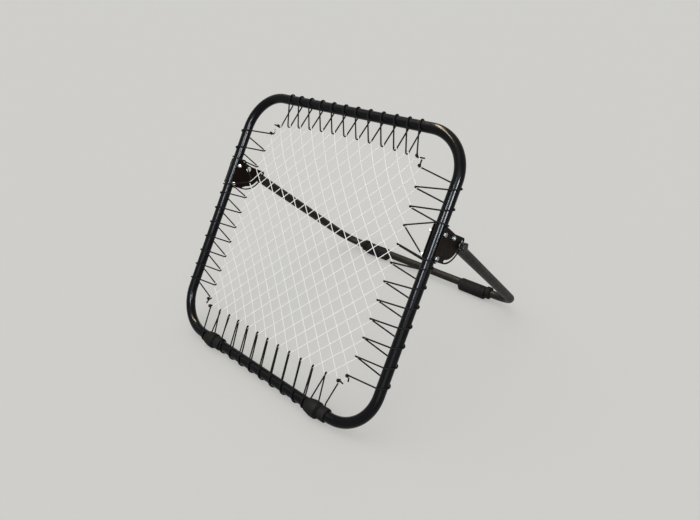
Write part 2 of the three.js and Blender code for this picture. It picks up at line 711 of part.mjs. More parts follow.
const leg = new THREE.Group();
leg.position.set(0, PIVOT_SETBACK, PIVOT_HEIGHT);
leg.rotation.x = legTurn;
frame.add(leg);

const place = (mesh, side, n, v) => {
  mesh.position.set(side * halfW, n, v);
  if (side < 0) mesh.rotation.z = Math.PI;
  return mesh;
};

for (const [name, side] of [['left', -1], ['right', 1]]) {
  const outer = side > 0 ? plateFace : -plateBack;
  const inner = side > 0 ? -plateBack : plateFace;
  frame.add(part(`bracket_plate_${name}_outer`, bracketPlate(side * halfW + outer), pressedSteel));
  frame.add(part(`bracket_plate_${name}_inner`, bracketPlate(side * halfW + inner), pressedSteel));
  for (const [level, v] of [['upper', boltHeights[0]], ['lower', boltHeights[1]]]) {
    frame.add(place(part(`frame_bolt_${name}_${level}`, frameBolt(), zinc), side, 0, v));
    frame.add(place(part(`cap_nut_${name}_${level}`, capNut(), zinc), side, 0, v));
  }
  frame.add(place(part(`pivot_bolt_${name}`, pivotBolt(), zinc), side, PIVOT_SETBACK, PIVOT_HEIGHT));
  frame.add(place(part(`pivot_nut_${name}`, pivotNut(), zinc), side, PIVOT_SETBACK, PIVOT_HEIGHT));

  leg.add(part(`leg_arm_${name}`, legArm(side), legCoat));
  leg.add(place(part(`lock_bolt_${name}`, lockBolt(), zinc), side, 0, -SLOT_RADIUS));
  leg.add(place(part(`lock_washer_${name}`, lockWasher(), zinc), side, 0, -SLOT_RADIUS));
  leg.add(place(part(`lock_knob_${name}`, lockKnob(), blackPlastic), side, 0, -SLOT_RADIUS));

  const foot = part(`rear_foot_${name}`, rubberFoot(REAR_FOOT), rubber);
  const groove = REAR_FOOT_END - REAR_FOOT_COLLAR - REAR_FOOT_GROOVE / 2;
  foot.position.set(side * groove, 0, -LEG_LENGTH);
  foot.rotation.set(lean - legTurn, 0, side < 0 ? Math.PI : 0);
  leg.add(foot);
}
leg.add(part('leg_cross_tube', crossTube(), legCoat));

frame.add(part('rebound_net', netPanel(), whiteTwine));
const topTurn = (k) => turnBetween(topHooks, k, TOP_SHARE, TOP_CLIMB);
frame.add(part('lacing_top', laceCord('top', topHooks, topTurn), blackElastic));
frame.add(part('lacing_bottom', laceCord('bottom', bottomHooks, bottomTurn), blackElastic));
frame.add(part('lacing_right',
  laceCord('right', rightHooks, sideTurn(rightHooks, RIGHT_SHARE, RIGHT_CLIMB)), blackElastic));
frame.add(part('lacing_left',
  laceCord('left', leftHooks, sideTurn(leftHooks, LEFT_SHARE, LEFT_CLIMB)), blackElastic));

// The origin is on the ground, in the middle of the space the object takes.
rebounder.updateMatrixWorld(true);
const box = new THREE.Box3().setFromObject(rebounder, true);
frame.position.set(0, -(box.min.y + box.max.y) / 2, -box.min.z);

export default rebounder;
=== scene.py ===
# %% [markdown]
# # A pitch back rebounder, dressed for its picture
# The solids come from the CAD model: a square tube frame that leans back on a folding leg,
# with a net hung inside it on laced elastic cord. This lesson gives each piece its real
# roundness and finish. Everything is in metres, in the frame of the CAD model.

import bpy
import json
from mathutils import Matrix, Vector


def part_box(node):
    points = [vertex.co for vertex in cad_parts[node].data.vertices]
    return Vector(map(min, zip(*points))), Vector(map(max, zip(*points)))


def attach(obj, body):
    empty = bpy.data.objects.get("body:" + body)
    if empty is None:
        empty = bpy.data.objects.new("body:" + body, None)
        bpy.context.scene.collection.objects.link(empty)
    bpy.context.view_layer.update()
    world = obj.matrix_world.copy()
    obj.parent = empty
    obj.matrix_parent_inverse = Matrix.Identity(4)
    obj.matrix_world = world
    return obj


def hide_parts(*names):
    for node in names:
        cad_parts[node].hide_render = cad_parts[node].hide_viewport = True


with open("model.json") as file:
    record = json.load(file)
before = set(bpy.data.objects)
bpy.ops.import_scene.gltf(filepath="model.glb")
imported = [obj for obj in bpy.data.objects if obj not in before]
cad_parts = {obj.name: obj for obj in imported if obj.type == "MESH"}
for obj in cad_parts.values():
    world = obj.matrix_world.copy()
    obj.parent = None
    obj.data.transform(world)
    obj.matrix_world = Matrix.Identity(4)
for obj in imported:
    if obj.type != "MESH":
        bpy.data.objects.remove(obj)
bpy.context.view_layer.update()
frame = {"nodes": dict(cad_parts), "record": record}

import json
import math
import bpy
from mathutils import Matrix, Vector

scene = bpy.context.scene
nodes = frame["nodes"]
for name in ("Cube", "Light", "Camera"):
    spare = bpy.data.objects.get(name)
    if spare:
        bpy.data.objects.remove(spare)

# %% [markdown]
# ## The camera
# The photograph was taken from in front and to the right of the object, a little above it.
# The place and lens below come from solving the photograph's perspective with the frame
# taken as square. The small shifts move the picture on the sensor, as in the photograph.

# %% Place the camera
CAMERA_PLACE = (1.17265, -1.38026, 1.21564)
CAMERA_TURN = (64.344, -0.962, 40.947)
LENS = 26.803
SENSOR_WIDTH = 36
SENSOR_SHIFT = (-0.00584, -0.0257)
SEE_TO = 200                   # metres, which takes in the far floor
bpy.ops.object.camera_add(location=CAMERA_PLACE, rotation=[math.radians(a) for a in CAMERA_TURN])
camera = bpy.context.object
camera.data.lens = LENS
camera.data.sensor_width = SENSOR_WIDTH
camera.data.shift_x, camera.data.shift_y = SENSOR_SHIFT
camera.data.clip_end = SEE_TO
scene.camera = camera
print("camera looks down by", 90 - CAMERA_TURN[0], "degrees")

# %% [markdown]
# ## Where the pieces stand
# The frame is drawn flat, with X across it, Y behind it and Z up it, and is then leant back
# about X and set down so that the feet meet the ground. The leg is drawn hanging straight
# down from its pivot, and is then swung out. Two matrices hold those moves, so that each
# piece can be modelled where it is easiest and put in place at the end.

# %% Sizes of the frame and the leg
MM = 0.001
TUBE_R = 17.5 * MM
TUBE_WALL = 1.6 * MM
HALF = 470 * MM                # middle of the frame to a tube's centre line
FRAME_BEND = 140 * MM
FRAME_JOINT = 265 * MM         # from the middle to the joints of the bottom tube
PIVOT_SETBACK = 52 * MM
PIVOT_HEIGHT = 178 * MM
LEG_LENGTH = 832 * MM
LEG_BEND = 100 * MM
LEG_OVERHANG = 17 * MM
LEG_JOINT = 275 * MM
LEG_OPEN = math.radians(79.6)
FIT = 0.3 * MM                 # the gap between two pieces that touch on the real object
MERGE = 1e-6                   # points closer than this become one

# %% Stand the frame and open the leg
fold = [j for j in frame["record"]["behaviour"]["joints"] if j["name"] == "leg_fold"][0]
pivot = Vector(fold["pos_m"])
low, high = [Vector(c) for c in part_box("frame_bottom_tube")]
rise = pivot - (low + high) / 2
LEAN = math.atan2(rise.y, rise.z) - math.atan2(PIVOT_SETBACK, PIVOT_HEIGHT + HALF)
lean_back = Matrix.Rotation(-LEAN, 4, "X")
centre = pivot - lean_back @ Vector((0, PIVOT_SETBACK, PIVOT_HEIGHT))
stand = Matrix.Translation((0, centre.y, centre.z)) @ lean_back
swing = Matrix.Translation((0, PIVOT_SETBACK, PIVOT_HEIGHT)) @ Matrix.Rotation(LEG_OPEN, 4, "X")
leg_stand = stand @ swing
print("the frame leans back by", round(math.degrees(LEAN), 2), "degrees")

# %% [markdown]
# ## Small tools
# An operator works on whatever is selected, so each piece starts from nothing selected.
# A finished piece has its place in its mesh and its object at the origin, so that a joint can
# turn it about the right line.

# %% Select, edit and finish
def nothing():
    bpy.ops.object.select_all(action="DESELECT")


def only(obj):
    nothing()
    obj.select_set(True)
    bpy.context.view_layer.objects.active = obj


def edit():
    bpy.ops.object.mode_set(mode="EDIT")
    bpy.ops.mesh.select_mode(type="VERT")


def leave():
    bpy.ops.object.mode_set(mode="OBJECT")


def bake(obj):
    """The object's own place, turn and size go into its mesh."""
    only(obj)
    bpy.ops.object.transform_apply(location=True, rotation=True, scale=True)


def apply_modifier(obj, kind, **settings):
    only(obj)
    modifier = obj.modifiers.new(kind.lower(), kind)
    for key, value in settings.items():
        setattr(modifier, key, value)
    bpy.ops.object.modifier_apply(modifier=modifier.name)


def finish(obj, name, place, body, material, slot, *replaced, smooth=35):
    """Names the piece, puts it in place, smooths it, gives it its material and body, and hides the CAD
    parts it replaces.
    """
    obj.name = name
    obj.data.name = name
    obj.data.transform(place)
    only(obj)
    bpy.ops.object.shade_smooth_by_angle(angle=math.radians(smooth))
    obj.data.materials.clear()
    obj.data.materials.append(material)
    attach(obj, body)
    if replaced:
        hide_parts(*replaced)
    return obj


# %% [markdown]
# ## Finishes
# The frame is powder coated in gloss black and the leg in a dull brown-black. The brackets are
# painted dark brown, the feet are moulded rubber and the bolts are zinc plated. Each of these
# finishes is made of a few noise patterns on the piece's own coordinates: one for slight changes
# of tone and one for changes of gloss, broad and middling on paint, rubber and plastic and a few
# millimetres across on the bolts, and on the dull paint, the rubber and the plastic a fine one
# for bumps. None of them depends on the camera.

# %% A finish from noise
BROAD, MIDDLING, FINE = 14, 55, 900    # how often a pattern repeats in a metre
USUAL = (0.3, 0.7)                     # most of a noise lies between these values


def new_finish(name, base, roughness, metallic=0.0, **sockets):
    material = bpy.data.materials.new(name)
    material.use_nodes = True
    shader = material.node_tree.nodes["Principled BSDF"]
    shader.inputs["Base Color"].default_value = (*base, 1)
    shader.inputs["Roughness"].default_value = roughness
    shader.inputs["Metallic"].default_value = metallic
    for key, value in sockets.items():
        shader.inputs[key.replace("_", " ")].default_value = value
    return material, shader


def add(material, kind, **settings):
    node = material.node_tree.nodes.new(kind)
    for key, value in settings.items():
        if hasattr(node, key):
            setattr(node, key, value)
        else:
            node.inputs[key.replace("_", " ")].default_value = value
    return node


def link(material, source, target):
    material.node_tree.links.new(source, target)


def noise_on(material, scale, detail):
    where = add(material, "ShaderNodeTexCoord")
    noise = add(material, "ShaderNodeTexNoise", Scale=scale, Detail=detail)
    link(material, where.outputs["Object"], noise.inputs["Vector"])
    return noise.outputs["Fac"]


def tone(material, shader, factor, dark, light, low=0.35, high=0.65):
    """Colour that wanders between two close tones."""
    ramp = add(material, "ShaderNodeValToRGB")
    ramp.color_ramp.elements[0].position = low
    ramp.color_ramp.elements[0].color = (*dark, 1)
    ramp.color_ramp.elements[1].position = high
    ramp.color_ramp.elements[1].color = (*light, 1)
    link(material, factor, ramp.inputs["Fac"])
    link(material, ramp.outputs["Color"], shader.inputs["Base Color"])


def gloss(material, shader, factor, low, high):
    """Roughness that wanders between two values."""
    spread = add(material, "ShaderNodeMapRange", From_Min=USUAL[0], From_Max=USUAL[1],
                 To_Min=low, To_Max=high)
    link(material, factor, spread.inputs["Value"])
    link(material, spread.outputs["Result"], shader.inputs["Roughness"])


def grain(material, shader, height, strength, distance):
    """Fine bumps."""
    bump = add(material, "ShaderNodeBump", Strength=strength, Distance=distance)
    link(material, height, bump.inputs["Height"])
    link(material, bump.outputs["Normal"], shader.inputs["Normal"])


# %% Paint, rubber, zinc and plastic
def coated(name, dark, light, rough, shine, peel=0.0):
    """Paint, rubber or plastic between two tones. Peel is the strength of its bumps."""
    material, shader = new_finish(name, light, rough[0], Specular_IOR_Level=shine)
    tone(material, shader, noise_on(material, BROAD, 4), dark, light)
    gloss(material, shader, noise_on(material, MIDDLING, 5), *rough)
    if peel:
        grain(material, shader, noise_on(material, FINE, 2), peel, 0.2 * MM)
    return material


frame_coat = coated("frame powder coat", (0.0016, 0.0019, 0.0026), (0.0030, 0.0034, 0.0045),
                    rough=(0.15, 0.20), shine=0.12)
leg_coat = coated("leg powder coat", (0.0090, 0.0075, 0.0062), (0.0150, 0.0125, 0.0105),
                  rough=(0.42, 0.58), shine=0.13, peel=0.10)
bracket_coat = coated("bracket paint", (0.0042, 0.0018, 0.0009), (0.0078, 0.0036, 0.0018),
                      rough=(0.45, 0.60), shine=0.05, peel=0.12)
rubber = coated("foot rubber", (0.0060, 0.0058, 0.0060), (0.0105, 0.0102, 0.0105),
                rough=(0.60, 0.80), shine=0.08, peel=0.50)
knob_plastic = coated("knob plastic", (0.0050, 0.0050, 0.0050), (0.0090, 0.0090, 0.0090),
                      rough=(0.30, 0.45), shine=0.15, peel=0.15)


def plated(name, dark, light):
    """Metal whose tone and gloss change over a few millimetres, as plating on a small bolt does."""
    material, shader = new_finish(name, light, 0.4, 1.0)
    tone(material, shader, noise_on(material, 160, 4), dark, light)
    gloss(material, shader, noise_on(material, 420, 3), 0.34, 0.50)
    return material


bright_zinc = plated("bright zinc", (0.56, 0.59, 0.59), (0.72, 0.75, 0.75))
# The same zinc made darker, as painted shade on the fasteners that face away from the light.
zinc_painted_shade = plated("zinc with painted shade", (0.16, 0.17, 0.17), (0.30, 0.31, 0.31))
black_bolt = plated("blackened steel", (0.020, 0.018, 0.017), (0.040, 0.037, 0.035))
print("finishes:", [m.name for m in bpy.data.materials])

# %% [markdown]
# ## Twine and cord
# Both are braided, so their pattern has to follow them. Each swept piece carries a UV map
# that counts round the cord and, in millimetres, along it, and two crossed stripes on that
# map make the plaits of the braid, with painted shade darkening the hollows between them.

# %% A braided finish
def maths(material, operation, *values):
    """One sum of a material, from numbers and from the outputs of other nodes."""
    node = add(material, "ShaderNodeMath", operation=operation)
    for value, socket in zip(values, node.inputs):
        if isinstance(value, bpy.types.NodeSocket):
            link(material, value, socket)
        else:
            socket.default_value = value
    return node.outputs["Value"]


def braided(name, dark, light, roughness, plaits, pitch, depth):
    """A cord with so many plaits round it, whose pattern repeats each pitch millimetres along it."""
    material, shader = new_finish(name, light, roughness, Specular_IOR_Level=0.1)
    uv = add(material, "ShaderNodeUVMap", uv_map="UVMap")
    split = add(material, "ShaderNodeSeparateXYZ")
    link(material, uv.outputs["UV"], split.inputs["Vector"])
    along = maths(material, "MULTIPLY", split.outputs["Y"], 2 * math.pi / pitch)
    waves = []
    for turn in (1, -1):
        across = maths(material, "MULTIPLY", split.outputs["X"], turn * plaits * 2 * math.pi)
        waves.append(maths(material, "SINE", maths(material, "ADD", across, along)))
    height = add(material, "ShaderNodeMapRange", From_Min=-1, From_Max=1)
    link(material, maths(material, "MULTIPLY", *waves), height.inputs["Value"])
    # The low parts between the plaits are painted darker, as painted shade in the braid's hollows, on top
    # of the real bumps.
    tone(material, shader, height.outputs["Result"], dark, light, 0.1, 0.9)
    grain(material, shader, height.outputs["Result"], 0.6, depth)
    return material


white_twine = braided("white twine", (0.74, 0.74, 0.72), (0.90, 0.90, 0.88), roughness=0.9,
                      plaits=3, pitch=3.0, depth=0.1 * MM)
black_cord = braided("black elastic", (0.0015, 0.0015, 0.002), (0.005, 0.005, 0.0055), roughness=0.8,
                     plaits=4, pitch=3.4, depth=0.2 * MM)

# %% [markdown]
# ## Bent tube
# Tube is bent on the real object by drawing a straight length round a former. Here a circle
# is drawn out along each straight run and spun round each corner, which is the same motion.
# Solidify then gives it its wall. The hoop and the two arms of the leg each come from one bent
# length, and the short bottom and cross tubes are straight lengths made the same way.

# %% Draw and spin a tube
TUBE_SIDES = 48
BEND_STEPS = 28


def bent_tube(corners, radius=0):
    """A tube along straight runs, with a quarter turn of this radius at each inner corner."""
    corners = [Vector(c) for c in corners]
    heading = (corners[1] - corners[0]).normalized()
    bpy.ops.mesh.primitive_circle_add(vertices=TUBE_SIDES, radius=TUBE_R, location=corners[0],
                                      rotation=heading.to_track_quat("Z", "Y").to_euler())
    obj = bpy.context.object
    bake(obj)
    edit()
    bpy.ops.mesh.select_all(action="SELECT")
    here = corners[0]
    for i in range(1, len(corners)):
        into = (corners[i] - corners[i - 1]).normalized()
        last = i == len(corners) - 1
        stop = corners[i] if last else corners[i] - into * radius
        bpy.ops.mesh.extrude_region_move(TRANSFORM_OT_translate={"value": stop - here})
        here = stop
        if not last:
            out = (corners[i + 1] - corners[i]).normalized()
            former = stop + out * radius
            bpy.ops.mesh.spin(steps=BEND_STEPS, angle=math.pi / 2, center=former, axis=out.cross(into))
            here = former + into * radius
    bpy.ops.mesh.select_all(action="SELECT")
    bpy.ops.mesh.remove_doubles(threshold=MERGE)
    bpy.ops.mesh.normals_make_consistent(inside=False)
    leave()
    apply_modifier(obj, "SOLIDIFY", thickness=TUBE_WALL, offset=-1)
    return obj


# %% The frame
hoop = bent_tube([(-FRAME_JOINT, 0, -HALF), (-HALF, 0, -HALF), (-HALF, 0, HALF),
                  (HALF, 0, HALF), (HALF, 0, -HALF), (FRAME_JOINT, 0, -HALF)], FRAME_BEND)
finish(hoop, "frame_hoop", stand, "frame", frame_coat, "frame_powder_coat", "frame_hoop_tube")
bottom = bent_tube([(-FRAME_JOINT + FIT, 0, -HALF), (FRAME_JOINT - FIT, 0, -HALF)])
finish(bottom, "frame_bottom", stand, "frame", frame_coat, "frame_powder_coat", "frame_bottom_tube")
print("hoop faces:", len(hoop.data.polygons))

# %% The leg
for name, side in (("left", -1), ("right", 1)):
    arm = bent_tube([(side * HALF, 0, LEG_OVERHANG), (side * HALF, 0, -LEG_LENGTH),
                     (side * LEG_JOINT, 0, -LEG_LENGTH)], LEG_BEND)
    finish(arm, "leg_arm_" + name + "_tube", leg_stand, "leg", leg_coat, "leg_powder_coat",
           "leg_arm_" + name)
cross = bent_tube([(-LEG_JOINT + FIT, 0, -LEG_LENGTH), (LEG_JOINT - FIT, 0, -LEG_LENGTH)])
finish(cross, "leg_cross", leg_stand, "leg", leg_coat, "leg_powder_coat", "leg_cross_tube")

# %% [markdown]
# ## A turned shape
# The feet are round about their tube. A profile is drawn point by point, as distance along
# the axis and radius, and spun a full turn about X.

# %% Draw a profile and spin it
TURN_STEPS = 48


def turned(profile):
    first = profile[0]
    bpy.ops.mesh.primitive_plane_add(size=MM, location=(first[0], 0, first[1]))
    obj = bpy.context.object
    bake(obj)
    edit()
    bpy.ops.mesh.select_all(action="SELECT")
    bpy.ops.mesh.merge(type="CENTER")
    for a, b in zip(profile, profile[1:]):
        step = (b[0] - a[0], 0, b[1] - a[1])
        bpy.ops.mesh.extrude_region_move(TRANSFORM_OT_translate={"value": step})
    bpy.ops.mesh.select_all(action="SELECT")
    bpy.ops.mesh.spin(steps=TURN_STEPS, angle=2 * math.pi, center=(0, 0, 0), axis=(1, 0, 0))
    bpy.ops.mesh.select_all(action="SELECT")
    bpy.ops.mesh.remove_doubles(threshold=MERGE)
    bpy.ops.mesh.normals_make_consistent(inside=False)
    leave()
    return obj


# %% [markdown]
# ## Rubber feet
# A foot is a moulded sleeve that slides on the tube. Its barrel hangs lower than the tube and
# tapers to its tip, a groove lets the cord past, and a collar follows. The barrel is spun
# round the tube's axis, and everything outside the bore is then moved down.

# %% A foot
FOOT_SKIN = 3.2 * MM           # rubber between the tube and the floor of the groove
FOOT_LAND = 1.2 * MM           # worn off the barrel where it stands on the ground


def rubber_foot(radius, tip, taper, drop, barrel, groove, collar, collar_radius):
    bore = TUBE_R + FIT
    lip = groove / 2
    floor_r = TUBE_R + FOOT_SKIN
    end = -lip - barrel
    far = lip + collar
    open_end = [(end, bore), (end, tip - 2 * MM), (end + 0.5 * MM, tip - 0.8 * MM), (end + 1.8 * MM, tip)]
    barrel_side = [(end + taper - 2 * MM, radius - 0.7 * MM), (end + taper + 2 * MM, radius),
                   (-lip - 3 * MM, radius), (-lip - 1.4 * MM, radius - 0.5 * MM),
                   (-lip - 0.4 * MM, radius - 1.8 * MM)]
    groove_side = [(-lip, floor_r + 1 * MM), (-lip + 1 * MM, floor_r),
                   (lip - 1 * MM, floor_r), (lip, floor_r + 1 * MM)]
    collar_side = [(lip + 0.3 * MM, collar_radius - 0.8 * MM), (lip + 1.4 * MM, collar_radius),
                   (far - 2 * MM, collar_radius), (far - 0.6 * MM, collar_radius - 0.7 * MM),
                   (far, collar_radius - 2 * MM), (far, bore), (end, bore)]
    obj = turned(open_end + barrel_side + groove_side + collar_side)
    edit()
    bpy.ops.mesh.select_all(action="DESELECT")
    leave()
    for v in obj.data.vertices:
        v.select = v.co.x < -lip - 0.2 * MM and math.hypot(v.co.y, v.co.z) > bore + 1 * MM
    edit()
    bpy.ops.transform.translate(value=(0, 0, -drop))
    bpy.ops.mesh.select_all(action="SELECT")
    bpy.ops.mesh.bisect(plane_co=(0, 0, -drop - radius + FOOT_LAND), plane_no=(0, 0, -1),
                        clear_outer=True, use_fill=True)
    leave()
    return obj


front = dict(radius=27.5 * MM, tip=22.5 * MM, taper=26 * MM, drop=3.5 * MM, barrel=49 * MM, groove=10 * MM,
             collar=28 * MM, collar_radius=23 * MM)
upright = Matrix.Rotation(LEAN, 4, "X")
foot_at = {}
for name in ("left", "right"):
    low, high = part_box("front_foot_" + name)
    foot_at[name] = low[0] + front["barrel"] + front["groove"] / 2
    foot = rubber_foot(**front)
    place = stand @ Matrix.Translation((foot_at[name], 0, -HALF)) @ upright
    finish(foot, "front_foot_" + name + "_rubber", place, "frame", rubber, "foot_rubber",
           "front_foot_" + name)
print("front feet at", foot_at)

# %% The rear feet
REAR_FOOT_END = 357 * MM       # from the middle of the cross tube to the outer end of a foot
rear = dict(radius=29 * MM, tip=22 * MM, taper=9 * MM, drop=8 * MM, barrel=129 * MM, groove=4 * MM,
            collar=20 * MM, collar_radius=27 * MM)
REAR_GROOVE = REAR_FOOT_END - rear["collar"] - rear["groove"] / 2
for name, side in (("left", -1), ("right", 1)):
    foot = rubber_foot(**rear)
    turn = Matrix.Rotation(LEAN - LEG_OPEN, 4, "X") @ Matrix.Rotation(math.pi if side < 0 else 0, 4, "Z")
    place = leg_stand @ Matrix.Translation((side * REAR_GROOVE, 0, -LEG_LENGTH)) @ turn
    finish(foot, "rear_foot_" + name + "_rubber", place, "leg", rubber, "foot_rubber",
           "rear_foot_" + name)

# %% [markdown]
# ## The net
# The net is tied from white twine in a lattice of diamonds. Every crossing of the lattice is
# a knot. The elastic cords draw each edge a little along its tube, so the outer rows lean.

# %% The lattice
NET_WIDTH = 708 * MM
NET_HEIGHT = 722 * MM
NET_RISE = 4 * MM              # the net hangs this much above the middle of the frame
ACROSS = 13                    # meshes
DOWN = 12
TWINE_R = 1.35 * MM
NET_HALF = 1.5 * MM            # half the thickness of the CAD net, which the cords clear
STRAND_HALF = 1.6 * MM         # half the width of its strands
mesh_a = NET_WIDTH / (2 * ACROSS)
mesh_b = NET_HEIGHT / (2 * DOWN)

# How far, in millimetres, the cords draw the middle of each edge along its tube and outwards
TOP_ALONG, BOTTOM_ALONG, RIGHT_ALONG, LEFT_ALONG = 14, 12, 13, 26
TOP_OUT, BOTTOM_OUT, SIDES_OUT = 34, 10, 8
TOP_GATHER = 0.09              # the top row is gathered by this share of its width


def bow(q):
    """The pull is full in the middle of an edge and weaker towards its ends."""
    return 1 - 0.6 * q * q


def ease(q, sharp):
    """The pull dies away from the edge inwards."""
    return max(q, 0) ** sharp


def drawn(i, j):
    """The place in the frame's plane of lattice point (i, j), pulled aside and out by the cords."""
    x, v = i * mesh_a, j * mesh_b
    qx, qv = i / ACROSS, j / DOWN
    dx = ease(qv, 4) * (TOP_ALONG * MM * bow(qx) - TOP_GATHER * x * qx ** 4)
    dx -= ease(-qv, 4) * BOTTOM_ALONG * MM * bow(qx)
    dx += (ease(qx, 6) - ease(-qx, 6)) * SIDES_OUT * MM * bow(qv)
    dv = (ease(qx, 4) * RIGHT_ALONG - ease(-qx, 4) * LEFT_ALONG) * MM * bow(qv)
    dv += (ease(qv, 6) * TOP_OUT - ease(-qv, 6) * BOTTOM_OUT) * MM * bow(qx)
    return Vector((x + dx, 0, v + dv + NET_RISE))


# %% A round cord along a route
def ring_frames(points):
    """A steady pair of side directions at each point of the route."""
    tangents = []
    for i in range(len(points)):
        a, b = points[max(i - 1, 0)], points[min(i + 1, len(points) - 1)]
        tangents.append((b - a).normalized())
    side = tangents[0].orthogonal().normalized()
    frames = []
    for t in tangents:
        side = (side - t * side.dot(t)).normalized()
        frames.append((side, t.cross(side)))
    return frames


def sweep_into(store, points, radius, sides):
    """Adds one closed round cord to a store of vertices, faces and UVs."""
    verts, faces, uvs = store
    start = len(verts)
    length = 0
    lengths = []
    for i, p in enumerate(points):
        if i:
            length += (p - points[i - 1]).length
        lengths.append(length / MM)
    for p, (a, b) in zip(points, ring_frames(points)):
        for k in range(sides):
            angle = 2 * math.pi * k / sides
            verts.append(p + radius * (math.cos(angle) * a + math.sin(angle) * b))
    for i in range(len(points) - 1):
        for k in range(sides):
            n = (k + 1) % sides
            one, two = start + i * sides, start + (i + 1) * sides
            faces.append((one + k, one + n, two + n, two + k))
            u, w = k / sides, (k + 1) / sides
            uvs.append([(u, lengths[i]), (w, lengths[i]), (w, lengths[i + 1]), (u, lengths[i + 1])])
    for row, flip in ((start, True), (start + (len(points) - 1) * sides, False)):
        cap = list(range(row, row + sides))
        faces.append(tuple(reversed(cap)) if flip else tuple(cap))
        uvs.append([(0, 0)] * sides)


def object_from(store, name):
    verts, faces, uvs = store
    mesh = bpy.data.meshes.new(name)
    mesh.from_pydata(verts, [], faces)
    layer = mesh.uv_layers.new(name="UVMap")
    flat = [uv for face in uvs for uv in face]
    for loop, uv in zip(layer.data, flat):
        loop.uv = uv
    obj = bpy.data.objects.new(name, mesh)
    scene.collection.objects.link(obj)
    return obj


# %% Twine
BULGE = 0.9 * MM               # the two layers of twine pass this far in front and behind
twine = ([], [], [])
crossings = []
for i in range(-ACROSS, ACROSS + 1):
    for j in range(-DOWN, DOWN + 1):
        if (i + j) % 2:
            continue
        crossings.append((i, j))
        here = drawn(i, j)
        for di in (-1, 1):
            if abs(i + di) <= ACROSS and j + 1 <= DOWN:
                there = drawn(i + di, j + 1)
                bulge = Vector((0, di * BULGE, 0))
                run = [here.lerp(there, t) + bulge * math.sin(math.pi * t) for t in (0, 0.25, 0.5, 0.75, 1)]
                sweep_into(twine, run, TWINE_R, 6)
print("knots:", len(crossings), "strand faces:", len(twine[1]))

# %% [markdown]
# A netting knot is a loop of one twine pulled tight round a bight of the other. From any
# distance it is a small barrel across the crossing with a groove round it. One is modelled
# from a ring and copied to every crossing.

# %% Knots
KNOT_SLANT = math.radians(38)
bpy.ops.mesh.primitive_torus_add(major_radius=2.0 * MM, minor_radius=1.5 * MM,
                                 major_segments=8, minor_segments=5)
knot = bpy.context.object
knot.rotation_euler = (0, math.radians(90), 0)
knot.scale = (1.0, 1.0, 1.25)
bake(knot)
knot_points = [v.co.copy() for v in knot.data.vertices]
knot_faces = [tuple(p.vertices) for p in knot.data.polygons]
bpy.data.objects.remove(knot)
for i, j in crossings:
    start = len(twine[0])
    middle = drawn(i, j)
    turn = Matrix.Rotation(KNOT_SLANT if i % 2 else -KNOT_SLANT, 4, "Y")
    twine[0].extend(middle + turn @ p for p in knot_points)
    twine[1].extend(tuple(start + k for k in face) for face in knot_faces)
    twine[2].extend([(0.1 * k, 1.0 * k) for k in range(len(face))] for face in knot_faces)
net = object_from(twine, "net")
finish(net, "net_of_twine", stand, "frame", white_twine, "net_twine", "rebound_net", smooth=60)
print("net faces:", len(net.data.polygons))

# %% [markdown]
# ## Elastic lacing
# Four elastic cords hang the net in the frame, one along each side. A cord comes off the
# front of the tube, dives through the corner of an edge mesh, goes back behind the tube,
# and comes round its outside to the front again. Each cord is knotted at both ends.

# %% Where the cords run
CORD_R = 2.5 * MM
KNOT_R = 6.5 * MM
HOOK_FIT = 2.2 * MM            # room in the corner of a mesh that a cord dives through
CORD_TAIL = 20 * MM
HOOK_LEAN = 1.6 * MM
LEAD = 24 * MM                 # a strand that passes a foot or a plate bends this far out
hook_gap = STRAND_HALF + CORD_R + HOOK_FIT
hook_j = DOWN - hook_gap / math.sin(math.atan2(mesh_a, mesh_b)) / mesh_b
hook_i = ACROSS - hook_gap / math.sin(math.atan2(mesh_b, mesh_a)) / mesh_a
sides = {
    "top": lambda s, r, n: Vector((s, n, HALF - r)),
    "bottom": lambda s, r, n: Vector((s, n, r - HALF)),
    "right": lambda s, r, n: Vector((HALF - r, n, s)),
    "left": lambda s, r, n: Vector((r - HALF, n, s)),
}
across = range(-ACROSS + 1, ACROSS, 2)
down = range(-DOWN + 1, DOWN, 2)
hooks = {
    "top": [(p.x, HALF - p.z) for p in (drawn(i, hook_j) for i in across)],
    "bottom": [(p.x, HALF + p.z) for p in (drawn(-i, -hook_j) for i in across)],
    "right": [(p.z, HALF - p.x) for p in (drawn(hook_i, -j) for j in down)],
    "left": [(p.z, HALF + p.x) for p in (drawn(-hook_i, j) for j in down)],
}
# For each side, where between two hooks the cord turns, and how far it climbs as it turns
lace = {"top": (0.36, 6 * MM), "bottom": (0.27, 13 * MM), "right": (0.56, 11 * MM), "left": (0.65, 10 * MM)}
PAST_FOOT = 8.6 * MM           # the turn beside a front foot keeps this far from its barrel
groove_r = TUBE_R + FOOT_SKIN
beside = front["groove"] / 2 + front["barrel"] + PAST_FOOT
foot_turns = {0: (foot_at["right"], groove_r, "both"), 1: (foot_at["right"] - beside, TUBE_R, ""),
              10: (foot_at["left"], groove_r, "both"), 11: (foot_at["left"] - beside, TUBE_R, "")}
PLATE_BELOW, PLATE_ABOVE = 83 * MM, 24 * MM     # a bracket plate's reach from the pivot
BRACKET_LOW = PIVOT_HEIGHT - PLATE_BELOW - CORD_R - 2 * FIT
BRACKET_HIGH = PIVOT_HEIGHT + PLATE_ABOVE + CORD_R + 2 * FIT


def turn_at(side, k):
    """Place along the tube, climb, radius, and which strands lead straight out."""
    if side == "bottom" and k in foot_turns:
        s, radius, leads = foot_turns[k]
        return s, 0, radius, leads
    share, climb = lace[side]
    a, b = hooks[side][k][0], hooks[side][k + 1][0]
    s = a + share * (b - a)
    room = climb + CORD_R
    if side in ("right", "left") and BRACKET_LOW - room < s < BRACKET_HIGH + room:
        s = BRACKET_LOW if s - BRACKET_LOW < BRACKET_HIGH - s else BRACKET_HIGH
        return s, 0, TUBE_R, "back"
    return s, climb, TUBE_R, ""


# %% Lay the cords
ARC_STEPS = 14


